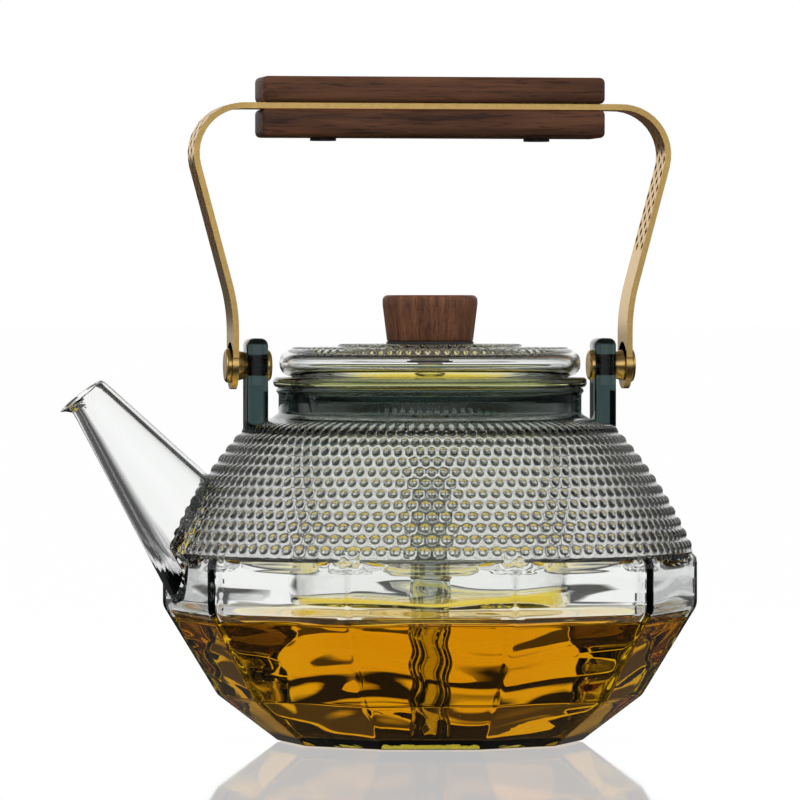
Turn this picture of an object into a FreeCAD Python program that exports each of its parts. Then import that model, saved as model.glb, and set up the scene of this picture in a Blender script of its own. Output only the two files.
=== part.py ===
# Glass teapot with a faceted belly, a hobnail shoulder, a drop-in infuser, a wooden-knobbed lid
# and a swinging brass bail with a walnut grip. Millimetres, +Z up, origin at the centre of the base,
# spout towards -X.
import FreeCAD, Part
import Sketcher
import os
import re
from math import pi

Vector = FreeCAD.Vector
Rotation = FreeCAD.Rotation

SIZES = {
    # Faceted lower body: a regular polygon at each level, widening in two tiers to an upright belly.
    "facet_count": 10,
    "facet_turn": -9.5,
    "base_radius": 46.5,
    "low_tier_height": 14.0,
    "low_tier_radius": 65.0,
    "high_tier_height": 27.3,
    "belly_radius": 81.7,
    "belly_height": 14.7,
    "corner_fade": 4.0,
    "pot_wall": 3.2,
    "floor_thick": 4.5,
    # Round shoulder and neck.
    "shoulder_step": 2.3,
    "shoulder_foot_rise": 2.0,
    "shoulder_arc": 130.0,
    "shoulder_height": 38.6,
    "shoulder_ledge": 8.8,
    "dot_rows": 12,
    "dot_row_start": 0.5,
    "dot_row_pitch": 3.8,
    "dot_row_rise": 0.6,
    "neck_radius": 46.2,
    "neck_wall": 3.0,
    "neck_foot_rise": 3.0,
    "neck_foot_flare": 2.2,
    "neck_height": 8.2,
    "rim_bead": 0.7,
    "rim_height": 2.0,
    # Spout: a straight cone with an offset pouring lip.
    "spout_lean": 52.1,
    "spout_reach": 24.5,
    "spout_rise": 47.0,
    "spout_mouth_radius": 6.7,
    "spout_root_radius": 18.3,
    "spout_length": 65.2,
    "spout_bore_length": 57.5,
    "spout_wall": 2.0,
    "lip_radius": 7.9,
    "lip_offset": 1.9,
    "lip_height": 2.0,
    # Glass ears that carry the bail.
    "ear_gap": 4.3,
    "ear_thick": 6.5,
    "ear_depth": 13.0,
    "ear_crown": 8.3,
    "ear_sink": 16.6,
    "ear_round": 2.4,
    "ear_hole_radius": 3.2,
    "pivot_rise": 6.7,
    # Pivot hardware: barrel nut from inside, screw from outside, spacer between ear and strap.
    "sleeve_clearance": 0.05,
    "sleeve_thick": 0.5,
    "barrel_clearance": 0.05,
    "nut_cap_radius": 4.7,
    "nut_cap_thick": 1.4,
    "barrel_length": 5.6,
    "thread_radius": 1.5,
    "thread_clearance": 0.05,
    "thread_length": 4.6,
    "thread_end_gap": 0.2,
    "shank_radius": 2.3,
    "shank_clearance": 0.06,
    "spacer_length": 2.7,
    "spacer_ear_radius": 4.0,
    "spacer_strap_radius": 4.7,
    "screw_head_radius": 5.2,
    "screw_head_thick": 1.5,
    "side_play": 0.1,
    # Bail strap.
    "strap_width": 14.4,
    "strap_thick": 1.8,
    "knee_rise": 17.5,
    "knee_radius": 55.0,
    "leg_lean": 15.0,
    "strap_bend": 14.5,
    "strap_rise": 78.8,
    # Walnut grip in two halves, held by two screws.
    "grip_length": 105.5,
    "grip_depth": 19.0,
    "grip_upper_height": 8.0,
    "grip_lower_height": 8.6,
    "grip_round": 2.2,
    "grip_screw_spacing": 66.0,
    "grip_screw_radius": 1.9,
    "grip_screw_clearance": 0.15,
    "grip_head_radius": 4.0,
    "grip_head_thick": 1.0,
    "insert_radius": 2.9,
    "insert_length": 5.0,
    # Drop-in glass infuser and its steam tube.
    "flange_overhang": 0.9,
    "flange_thick": 3.2,
    "cup_clearance": 1.0,
    "cup_wall": 2.3,
    "cup_depth": 66.4,
    "cup_floor_thick": 2.4,
    "cup_round": 4.0,
    "slot_count": 12,
    "slot_inner": 14.0,
    "slot_length": 14.0,
    "slot_width": 1.4,
    "tube_radius": 6.1,
    "tube_wall": 1.4,
    "tube_seat_clearance": 0.05,
    "tube_foot_gap": 4.5,
    "tube_rise": 42.6,
    "collar_radius": 8.6,
    "collar_rise": 12.2,
    "collar_edge": 1.6,
    "collar_flare": 2.6,
    # Blown glass lid.
    "lid_setback": 1.9,
    "lid_wall": 2.3,
    "lid_edge_height": 8.6,
    "lid_edge_round": 3.9,
    "lid_disc_radius": 28.0,
    "lid_disc_rise": 1.0,
    "skirt_clearance": 0.6,
    "skirt_depth": 8.0,
    # Walnut knob and what holds it.
    "knob_top_radius": 14.5,
    "knob_foot_radius": 13.1,
    "knob_height": 14.1,
    "knob_round": 2.0,
    "gasket_radius": 13.3,
    "gasket_thick": 1.2,
    "knob_screw_radius": 1.9,
    "knob_screw_clearance": 0.1,
    "lid_hole_clearance": 0.8,
    "knob_screw_reach": 9.0,
    "knob_screw_end_gap": 0.5,
    "knob_insert_radius": 3.6,
    "knob_insert_length": 8.0,
    "seal_radius": 7.0,
    "seal_thick": 1.2,
    "washer_radius": 6.0,
    "washer_thick": 0.8,
    "screw_cap_radius": 3.8,
    "screw_cap_thick": 2.4,
}

# Levels and radii that follow from the sizes, worked out in the sheet: each piece stands on the one below it.
PLACES = {
    "low_tier_top": "low_tier_height",
    "high_tier_top": "low_tier_top + high_tier_height",
    "belly_top": "high_tier_top + belly_height",
    "shoulder_foot": "belly_top + shoulder_foot_rise",
    "shoulder_radius": "belly_radius * cos(180 / facet_count) + shoulder_step",
    "shoulder_top": "shoulder_foot + shoulder_height",
    "shoulder_top_radius": "neck_radius + shoulder_ledge",
    "neck_foot": "shoulder_top + neck_foot_rise",
    "neck_top": "neck_foot + neck_height",
    "neck_bore": "neck_radius - neck_wall",
    "rim_radius": "neck_radius + rim_bead",
    "spout_mouth_x": "0 - shoulder_radius - spout_reach",
    "spout_mouth_z": "shoulder_foot + spout_rise",
    "pivot_height": "neck_top + pivot_rise",
    "ear_inner_x": "neck_radius + ear_gap",
    "ear_top": "pivot_height + ear_crown",
    "ear_root": "shoulder_top - ear_sink",
    "knee_height": "pivot_height + knee_rise",
    "strap_height": "pivot_height + strap_rise",
    "flange_radius": "rim_radius + flange_overhang",
    "cup_radius": "neck_bore - cup_clearance",
    "cup_floor": "neck_top - cup_depth",
    "tube_foot": "floor_thick + tube_foot_gap",
    "tube_top": "cup_floor + tube_rise",
    "collar_top": "cup_floor + collar_rise",
    "lid_radius": "flange_radius - lid_setback",
}

doc = FreeCAD.newDocument("GlassTeapot")
sheet = doc.addObject("Spreadsheet::Sheet", "Sizes")
cells = {**SIZES, **{name: f"={total}" for name, total in PLACES.items()}}
for row, (alias, size) in enumerate(cells.items(), 1):
    sheet.set(f"A{row}", alias)
    sheet.set(f"B{row}", str(size))
    sheet.setAlias(f"B{row}", alias)
doc.recompute()


def sized(text):
    """The sum with each size name read from the sheet."""
    return re.sub(r"\b(?!cos\b|sin\b|tan\b)[a-z]\w*", lambda word: "Sizes." + word.group(0), str(text))


def value(text):
    """What the sum comes to now."""
    found = sheet.evalExpression(sized(text))
    return float(getattr(found, "Value", found))


def bind(item, **sums):
    """Ties properties of an object to sums of sheet sizes; __ in a name stands for a dot."""
    for name, text in sums.items():
        item.setExpression(name.replace("__", "."), sized(text))
    return item


def place(item, x="0", y="0", z="0"):
    """Puts an object at a point worked out from the sheet."""
    return bind(item, Placement__Base__x=x, Placement__Base__y=y, Placement__Base__z=z)


def plane_of(body, role):
    return next(item for item in body.Origin.OriginFeatures if item.Role == role)


def new_body(label):
    body = doc.addObject("PartDesign::Body", label)
    body.Label = label
    return body


def new_sketch(body, name, role):
    sketch = body.newObject("Sketcher::SketchObject", name)
    sketch.AttachmentSupport = [(plane_of(body, role), "")]
    sketch.MapMode = "FlatFace"
    return sketch


def pin_point(sketch, shape, end, x, y):
    """Holds one end of a sketch shape at a place worked out from the sheet."""
    for kind, text, axis in (("DistanceX", x, -2), ("DistanceY", y, -1)):
        if str(text) == "0":
            sketch.addConstraint(Sketcher.Constraint("PointOnObject", shape, end, axis))
            continue
        index = sketch.addConstraint(Sketcher.Constraint(kind, -1, 1, shape, end, value(text)))
        sketch.setExpression(f"Constraints[{index}]", sized(text))


def end_at(sketch, shape, point):
    """Which end of a sketch shape lies at the point: 1 for its start, 2 for its end."""
    return 1 if sketch.getPoint(shape, 1).distanceToPoint(point) < 1e-6 else 2


def outline(sketch, corners):
    """Draws a closed outline. A corner is (x, y), or (x, y, radius) if an arc bulging right leads to it."""
    points = [Vector(value(corner[0]), value(corner[1]), 0) for corner in corners]
    shapes = []
    for index, corner in enumerate(corners):
        start = points[index - 1]
        finish = points[index]
        if len(corner) == 2:
            shapes.append(sketch.addGeometry(Part.LineSegment(start, finish)))
            continue
        radius = value(corner[2])
        chord = finish - start
        side = Vector(chord.y, -chord.x, 0).normalize()
        rise = radius - (radius ** 2 - (chord.Length / 2) ** 2) ** 0.5
        middle = (start + finish) * 0.5 + side * rise
        arc = sketch.addGeometry(Part.Arc(start, middle, finish))
        held = sketch.addConstraint(Sketcher.Constraint("Radius", arc, radius))
        sketch.setExpression(f"Constraints[{held}]", sized(corner[2]))
        shapes.append(arc)
    for index, corner in enumerate(corners):
        before = shapes[index]
        after = shapes[(index + 1) % len(shapes)]
        ends = [end_at(sketch, shape, points[index]) for shape in (before, after)]
        sketch.addConstraint(Sketcher.Constraint("Coincident", before, ends[0], after, ends[1]))
        pin_point(sketch, before, ends[0], corner[0], corner[1])


def turned(label, corners):
    """A body turned about the Z axis from its half section."""
    body = new_body(label)
    sketch = new_sketch(body, label + "_section", "XZ_Plane")
    outline(sketch, corners)
    feature = body.newObject("PartDesign::Revolution", label + "_turn")
    feature.Profile = sketch
    feature.ReferenceAxis = (sketch, ["V_Axis"])
    feature.Angle = 360
    doc.recompute()
    return body


def round_edges(body, name, radius, chosen):
    """Rounds the edges of a body that the test picks."""
    base = body.Tip
    names = [f"Edge{number}" for number, edge in enumerate(base.Shape.Edges, 1) if chosen(edge)]
    feature = body.newObject("PartDesign::Fillet", name)
    feature.Base = (base, names)
    bind(feature, Radius=radius)
    doc.recompute()
    return feature


def is_ring(edge, radius, height):
    """True for a full circle about the Z axis with this radius at this height."""
    curve = edge.Curve
    if not isinstance(curve, Part.Circle):
        return False
    return abs(curve.Radius - value(radius)) < 0.01 and abs(curve.Center.z - value(height)) < 0.01


def rod(label, radius, length, along=Vector(0, 0, 1), **at):
    """A round bar from a place along an axis."""
    bar = doc.addObject("Part::Cylinder", label)
    bar.Label = label
    bar.Placement.Rotation = Rotation(Vector(0, 0, 1), along)
    bind(bar, Radius=radius, Height=length)
    return place(bar, **at)


def cone(label, first, second, length, along=Vector(0, 0, 1), **at):
    """A round bar whose radius changes from its first end to its second."""
    bar = doc.addObject("Part::Cone", label)
    bar.Placement.Rotation = Rotation(Vector(0, 0, 1), along)
    bind(bar, Radius1=first, Radius2=second, Height=length)
    return place(bar, **at)


def cut(label, base, tool):
    result = doc.addObject("Part::Cut", label)
    result.Label = label
    result.Base = base
    result.Tool = tool
    doc.recompute()
    return result


def fuse(label, *pieces):
    result = doc.addObject("Part::MultiFuse", label)
    result.Label = label
    result.Shapes = list(pieces)
    doc.recompute()
    return result


def group(label, *pieces):
    result = doc.addObject("Part::Compound", label)
    result.Label = label
    result.Links = list(pieces)
    doc.recompute()
    return result


# Pot body: a faceted bowl with a round shoulder and neck, hollowed to an even wall.
def faceted(label, levels):
    """A solid with flat facets through one polygon at each (radius, height)."""
    rings = []
    for number, (radius, height) in enumerate(levels):
        ring = doc.addObject("Part::RegularPolygon", f"{label}_level_{number}")
        bind(ring, Polygon="facet_count", Circumradius=radius)
        ring.Placement.Rotation = Rotation(Vector(0, 0, 1), 0)
        bind(ring, Placement__Rotation__Angle="facet_turn")
        place(ring, z=height)
        rings.append(ring)
    body = doc.addObject("Part::Loft", label)
    body.Sections = rings
    body.Solid = True
    body.Ruled = True
    doc.recompute()
    return body


FLAT_RATIO = "cos(180 / facet_count)"
# The wall measured across, at a corner of the upright belly, the sloping tiers and the flat base.
belly_wall = "1.1 * pot_wall"
tier_wall = "1.25 * pot_wall"
base_wall = "1.65 * pot_wall"
fade_depth = "1.3 * corner_fade"
tier_slope = "(low_tier_radius - base_radius) / low_tier_top"
inner_belly = f"belly_radius - {belly_wall}"
outer_facets = faceted("pot_facets", [
    ("base_radius", "0"),
    ("low_tier_radius", "low_tier_top"),
    ("belly_radius", "high_tier_top"),
    ("belly_radius", "belly_top"),
    (f"belly_radius - {fade_depth}", "belly_top + corner_fade"),
])
inner_facets = faceted("pot_hollow_facets", [
    (f"base_radius + floor_thick * {tier_slope} - {base_wall}", "floor_thick"),
    (f"low_tier_radius - {tier_wall}", "low_tier_top + 0.4 * pot_wall"),
    (inner_belly, "high_tier_top + 0.2 * pot_wall"),
    (inner_belly, "belly_top"),
    (f"{inner_belly} - {fade_depth}", "belly_top + corner_fade"),
])


def dot_row_edges():
    """Where each row of dots on the shoulder's arc begins and ends, as (radius, height)."""
    foot = Vector(value("shoulder_radius"), value("shoulder_foot"), 0)
    top = Vector(value("shoulder_top_radius"), value("shoulder_top"), 0)
    chord = top - foot
    arc = value("shoulder_arc")
    side = Vector(chord.y, -chord.x, 0).normalize()
    centre = (foot + top) * 0.5 - side * (arc ** 2 - (chord.Length / 2) ** 2) ** 0.5
    edges = []
    for row in range(int(value("dot_rows")) + 1):
        along = (value("dot_row_start") + row * value("dot_row_pitch")) / arc
        edges.append(centre + Rotation(Vector(0, 0, 1), along * 180 / pi).multVec(foot - centre))
    return [(str(edge.x), str(edge.y)) for edge in edges]


# A row of dots is a low bead round the shoulder here; the separate dots are its fine texture.
bead_arc = "(dot_row_pitch ^ 2 / 4 + dot_row_rise ^ 2) / (2 * dot_row_rise)"
row_edges = dot_row_edges()
outer_round = turned("pot_round", [
    ("0", "belly_top - corner_fade"),
    (f"belly_radius * {FLAT_RATIO} - 0.2 * corner_fade", "belly_top - corner_fade"),
    ("shoulder_radius", "shoulder_foot"),
    row_edges[0],
    *[(*edge, bead_arc) for edge in row_edges[1:]],
    ("shoulder_top_radius", "shoulder_top"),
    ("neck_radius + neck_foot_flare", "neck_foot - neck_foot_flare / 2"),
    ("neck_radius", "neck_foot"),
    ("neck_radius", "neck_top - rim_height"),
    ("rim_radius", "neck_top - rim_height / 2"),
    ("rim_radius", "neck_top"),
    ("0", "neck_top"),
])
inner_round = turned("pot_hollow_round", [
    ("0", "belly_top - corner_fade"),
    (f"({inner_belly}) * {FLAT_RATIO} - 0.2 * corner_fade", "belly_top - corner_fade"),
    ("shoulder_radius - pot_wall", "shoulder_foot - 0.2 * pot_wall"),
    ("shoulder_top_radius - 0.7 * pot_wall", "shoulder_top - 0.7 * pot_wall", "shoulder_arc"),
    ("neck_bore + neck_foot_flare", "neck_foot - 1.1 * pot_wall"),
    ("neck_bore", "neck_foot - 0.6 * pot_wall"),
    ("neck_bore", "neck_top + pot_wall"),
    ("0", "neck_top + pot_wall"),
])
pot_outside = fuse("pot_outside", outer_facets, outer_round)


# Spout: a cone with an even wall and a lip that leans out to pour, cut to sit on the pot.
def spout_cone(label, first, second, length):
    """A cone from the mouth down into the pot."""
    body = doc.addObject("Part::Cone", label)
    bind(body, Radius1=first, Radius2=second, Height=length)
    body.Placement.Rotation = Rotation(Vector(0, 1, 0), 90)
    bind(body, Placement__Rotation__Angle="90 + spout_lean")
    return place(body, x="spout_mouth_x", z="spout_mouth_z")


def lip_loft(label, wall):
    """The short flare beyond the mouth, its end circle set off towards the pouring side."""
    sections = []
    ends = (
        (f"spout_mouth_radius - {wall}", "0", "0"),
        (f"lip_radius - {wall}", "lip_offset", "lip_height"),
    )
    for number, (radius, aside, ahead) in enumerate(ends):
        ring = doc.addObject("Part::Circle", f"{label}_{number}")
        bind(ring, Radius=radius)
        ring.Placement.Rotation = Rotation(Vector(0, 1, 0), 90)
        bind(ring, Placement__Rotation__Angle="90 + spout_lean")
        place(
            ring,
            x=f"spout_mouth_x - ({ahead}) * cos(spout_lean) - ({aside}) * sin(spout_lean)",
            z=f"spout_mouth_z + ({ahead}) * sin(spout_lean) - ({aside}) * cos(spout_lean)",
        )
        sections.append(ring)
    body = doc.addObject("Part::Loft", label)
    body.Sections = sections
    body.Solid = True
    body.Ruled = True
    doc.recompute()
    return body


spout_taper = "(spout_root_radius - spout_mouth_radius) / spout_length"
spout_outside = fuse(
    "spout_outside",
    spout_cone("spout_cone", "spout_mouth_radius", "spout_root_radius", "spout_length"),
    lip_loft("spout_lip", "0"),
)
spout_bore = fuse(
    "spout_bore",
    spout_cone(
        "spout_bore_cone",
        "spout_mouth_radius - spout_wall",
        f"spout_mouth_radius - spout_wall + {spout_taper} * spout_bore_length",
        "spout_bore_length",
    ),
    lip_loft("spout_bore_lip", "spout_wall"),
)
pot_hollow = fuse("pot_hollow", inner_facets, inner_round, spout_bore)
pot_glass = cut("pot_glass", pot_outside, pot_hollow)
spout = cut("spout", cut("spout_tube", spout_outside, spout_bore), pot_outside)


# The pot's one blown shell is handed on as three rings of glass, so that each can be hollow in collision.
def level_slice(label, foot, top):
    """The part of the pot between two levels."""
    slab = doc.addObject("Part::Box", f"{label}_slab")
    bind(slab, Length="4 * belly_radius", Width="4 * belly_radius", Height=f"{top} - ({foot})")
    place(slab, x="0 - 2 * belly_radius", y="0 - 2 * belly_radius", z=foot)
    ring = doc.addObject("Part::Common", label)
    ring.Label = label
    ring.Base = pot_glass
    ring.Tool = slab
    doc.recompute()
    return ring


pot_base = level_slice("pot_base", "0 - pot_wall", "belly_top")
pot_shoulder = level_slice("pot_shoulder", "belly_top", "neck_foot")
pot_neck = level_slice("pot_neck", "neck_foot", "neck_top + pot_wall")


# Ears and pivot hardware, one set on each side of the neck.
def pivot_side(side, sign):
    """The ear, its sleeve, the barrel nut, the spacer and the screw on one side."""
    outward = Vector(sign, 0, 0)

    def across(label, radius, length, start):
        return rod(label, radius, length, outward, x=f"{sign} * ({start})", z="pivot_height")

    tab = doc.addObject("Part::Box", f"{side}_tab")
    bind(tab, Length="ear_thick", Width="ear_depth", Height="ear_top - ear_root")
    corner = "ear_inner_x" if sign > 0 else "0 - ear_inner_x - ear_thick"
    place(tab, x=corner, y="0 - ear_depth / 2", z="ear_root")
    doc.recompute()
    rounded = doc.addObject("Part::Fillet", f"{side}_tab_round")
    rounded.Base = tab
    foot = value("ear_root")
    radius = value("ear_round")
    rounded.Edges = [
        (number, radius, radius)
        for number, edge in enumerate(tab.Shape.Edges, 1)
        if edge.BoundBox.ZMax > foot + radius
    ]
    doc.recompute()
    ear_out = "ear_inner_x + ear_thick"
    hole = across(f"{side}_ear_hole", "ear_hole_radius", "3 * ear_thick", "ear_inner_x - ear_thick")
    drilled = cut(f"{side}_ear_drilled", rounded, hole)
    ear = cut(f"{side}_ear", drilled, pot_outside)

    sleeve_bore = "ear_hole_radius - sleeve_clearance - sleeve_thick"
    barrel_radius = f"{sleeve_bore} - barrel_clearance"
    sleeve = cut(
        f"{side}_ear_sleeve",
        across(f"{side}_sleeve_bar", "ear_hole_radius - sleeve_clearance", "ear_thick", "ear_inner_x"),
        across(f"{side}_sleeve_bore", sleeve_bore, "3 * ear_thick", "ear_inner_x - ear_thick"),
    )

    cap_start = "ear_inner_x - nut_cap_thick"
    cap = across(f"{side}_nut_cap", "nut_cap_radius", "nut_cap_thick", cap_start)
    doc.recompute()
    domed = doc.addObject("Part::Fillet", f"{side}_nut_dome")
    domed.Base = cap
    dome = value("nut_cap_thick") * 0.7
    face_x = sign * value(cap_start)
    domed.Edges = [
        (number, dome, dome)
        for number, edge in enumerate(cap.Shape.Edges, 1)
        if edge.BoundBox.XLength < 0.01 and abs(edge.BoundBox.Center.x - face_x) < 0.01
    ]
    barrel = across(f"{side}_barrel", barrel_radius, "barrel_length", "ear_inner_x")
    thread_end = f"{ear_out} - thread_length - thread_end_gap"
    nut_bore = across(f"{side}_nut_bore", "thread_radius + thread_clearance", "barrel_length", thread_end)
    nut = cut(f"{side}_barrel_nut", fuse(f"{side}_nut_blank", domed, barrel), nut_bore)

    spacer = cut(
        f"{side}_pivot_spacer",
        cone(
            f"{side}_spacer_cone", "spacer_ear_radius", "spacer_strap_radius", "spacer_length", outward,
            x=f"{sign} * ({ear_out})", z="pivot_height",
        ),
        across(f"{side}_spacer_bore", "shank_radius + shank_clearance", "3 * spacer_length",
               f"{ear_out} - spacer_length"),
    )

    shank_length = "spacer_length + strap_thick + 2 * side_play"
    head_start = f"{ear_out} + {shank_length}"
    head = across(f"{side}_screw_head", "screw_head_radius", "screw_head_thick", head_start)
    doc.recompute()
    crowned = doc.addObject("Part::Fillet", f"{side}_screw_crown")
    crowned.Base = head
    crown = value("screw_head_thick") * 0.6
    outer_x = sign * value(f"{head_start} + screw_head_thick")
    crowned.Edges = [
        (number, crown, crown)
        for number, edge in enumerate(head.Shape.Edges, 1)
        if edge.BoundBox.XLength < 0.01 and abs(edge.BoundBox.Center.x - outer_x) < 0.01
    ]
    shank = across(f"{side}_screw_shank", "shank_radius", shank_length, ear_out)
    thread = across(f"{side}_screw_thread", "thread_radius", "thread_length", f"{ear_out} - thread_length")
    screw = fuse(f"{side}_pivot_screw", crowned, shank, thread)
    return [ear, sleeve, nut, spacer, screw]


pivots = pivot_side("left", -1) + pivot_side("right", 1)

# Infuser: a glass cup hung by its flange on the neck rim, drained by slots round its floor.
cup = turned("infuser_cup", [
    ("tube_radius + tube_seat_clearance", "cup_floor"),
    ("cup_radius", "cup_floor"),
    ("cup_radius", "neck_top"),
    ("flange_radius", "neck_top"),
    ("flange_radius", "neck_top + flange_thick"),
    ("cup_radius - cup_wall", "neck_top + flange_thick"),
    ("cup_radius - cup_wall", "cup_floor + cup_floor_thick"),
    ("tube_radius + tube_seat_clearance", "cup_floor + cup_floor_thick"),
])
round_edges(cup, "cup_foot_round", "cup_round", lambda edge: is_ring(edge, "cup_radius", "cup_floor"))
round_edges(
    cup, "flange_round", "0.42 * flange_thick",
    lambda edge: is_ring(edge, "flange_radius", "neck_top")
    or is_ring(edge, "flange_radius", "neck_top + flange_thick"),
)
slot_sketch = new_sketch(cup, "drain_slot_section", "XY_Plane")
bind(slot_sketch, AttachmentOffset__Base__z="cup_floor + 2 * cup_floor_thick")
slot_edge = "slot_width / 2"
outline(slot_sketch, [
    ("slot_inner", f"0 - {slot_edge}"),
    ("slot_inner + slot_length", f"0 - {slot_edge}"),
    ("slot_inner + slot_length", slot_edge),
    ("slot_inner", slot_edge),
])
slot = cup.newObject("PartDesign::Pocket", "drain_slot")
slot.Profile = slot_sketch
bind(slot, Length="3 * cup_floor_thick")
doc.recompute()
slots = cup.newObject("PartDesign::PolarPattern", "drain_slots")
slots.Originals = [slot]
slots.Axis = (slot_sketch, ["N_Axis"])
slots.Angle = 360
bind(slots, Occurrences="slot_count")
cup.Tip = slots
doc.recompute()

# Steam tube: rises from near the pot floor through the infuser, with a flared collar above its floor.
steam_tube = turned("steam_tube", [
    ("tube_radius - tube_wall", "tube_foot"),
    ("tube_radius", "tube_foot"),
    ("tube_radius", "collar_top - collar_edge - collar_flare"),
    ("collar_radius", "collar_top - collar_edge"),
    ("collar_radius", "collar_top"),
    ("tube_radius", "collar_top"),
    ("tube_radius", "tube_top"),
    ("tube_radius - tube_wall", "tube_top"),
])

# Lid: a blown shell with a rolled edge and a skirt that drops into the infuser.
lid_foot = "neck_top + flange_thick"
lid_face = f"{lid_foot} + lid_edge_height"
lid_top = f"{lid_face} + lid_disc_rise"
lid_hole = "knob_screw_radius + lid_hole_clearance"
skirt_radius = "cup_radius - cup_wall - skirt_clearance"
lid = turned("lid", [
    (lid_hole, f"{lid_top} - lid_wall"),
    ("lid_disc_radius - lid_wall", f"{lid_top} - lid_wall"),
    ("lid_disc_radius - lid_wall / 2", f"{lid_face} - lid_wall"),
    ("lid_radius - lid_wall", f"{lid_face} - lid_wall"),
    ("lid_radius - lid_wall", f"{lid_foot} + lid_wall"),
    (f"{skirt_radius} - lid_wall", f"{lid_foot} + lid_wall"),
    (f"{skirt_radius} - lid_wall", f"{lid_foot} - skirt_depth"),
    (skirt_radius, f"{lid_foot} - skirt_depth"),
    (skirt_radius, lid_foot),
    ("lid_radius", lid_foot),
    ("lid_radius", lid_face),
    ("lid_disc_radius + lid_disc_rise", lid_face),
    ("lid_disc_radius", lid_top),
    (lid_hole, lid_top),
])
round_edges(
    lid, "lid_edge_roll", "lid_edge_round",
    lambda edge: is_ring(edge, "lid_radius", lid_foot) or is_ring(edge, "lid_radius", lid_face),
)
round_edges(
    lid, "lid_inner_roll", "lid_edge_round - 0.9 * lid_wall",
    lambda edge: is_ring(edge, "lid_radius - lid_wall", f"{lid_foot} + lid_wall")
    or is_ring(edge, "lid_radius - lid_wall", f"{lid_face} - lid_wall"),
)

# Knob: turned walnut on a gasket, drawn down by a screw from under the lid into a brass insert.
knob_foot = f"{lid_top} + gasket_thick"
insert_top = f"{knob_foot} + knob_insert_length"
screw_bore = "knob_screw_radius + knob_screw_clearance"
bore_end = f"{knob_foot} + knob_screw_reach + knob_screw_end_gap"
knob = turned("lid_knob", [
    ("knob_insert_radius", knob_foot),
    ("knob_foot_radius", knob_foot),
    ("knob_top_radius", f"{knob_foot} + 0.8 * knob_height"),
    ("knob_top_radius", f"{knob_foot} + knob_height"),
    ("0", f"{knob_foot} + knob_height"),
    ("0", bore_end),
    (screw_bore, bore_end),
    (screw_bore, insert_top),
    ("knob_insert_radius", insert_top),
])
round_edges(
    knob, "knob_crown", "knob_round",
    lambda edge: is_ring(edge, "knob_top_radius", f"{knob_foot} + knob_height"),
)
knob_gasket = turned("knob_gasket", [
    (lid_hole, lid_top),
    ("gasket_radius", lid_top),
    ("gasket_radius", knob_foot),
    (lid_hole, knob_foot),
])
knob_insert = turned("knob_insert", [
    (screw_bore, knob_foot),
    ("knob_insert_radius", knob_foot),
    ("knob_insert_radius", insert_top),
    (screw_bore, insert_top),
])
seal_top = f"{lid_top} - lid_wall"
washer_top = f"{seal_top} - seal_thick"
cap_top = f"{washer_top} - washer_thick"
lid_seal = turned("lid_seal", [
    (lid_hole, washer_top),
    ("seal_radius", washer_top),
    ("seal_radius", seal_top),
    (lid_hole, seal_top),
])
lid_washer = turned("lid_washer", [
    (screw_bore, cap_top),
    ("washer_radius", cap_top),
    ("washer_radius", washer_top),
    (screw_bore, washer_top),
])
knob_screw = turned("knob_screw", [
    ("0", f"{cap_top} - screw_cap_thick"),
    ("screw_cap_radius", f"{cap_top} - screw_cap_thick"),
    ("screw_cap_radius", cap_top),
    ("knob_screw_radius", cap_top),
    ("knob_screw_radius", f"{knob_foot} + knob_screw_reach"),
    ("0", f"{knob_foot} + knob_screw_reach"),
])
round_edges(
    knob_screw, "knob_screw_crown", "0.6 * screw_cap_thick",
    lambda edge: is_ring(edge, "screw_cap_radius", f"{cap_top} - screw_cap_thick"),
)

# Bail strap: one flat brass strip, bent over the pot, with a round pivot eye at each foot.
strap_x = "(ear_inner_x + ear_thick + spacer_length + side_play + strap_thick / 2)"
knee_start_height = "knee_height - knee_radius * tan(leg_lean / 2)"
strap = new_body("handle_strap")
path = new_sketch(strap, "strap_path", "XZ_Plane")


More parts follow.
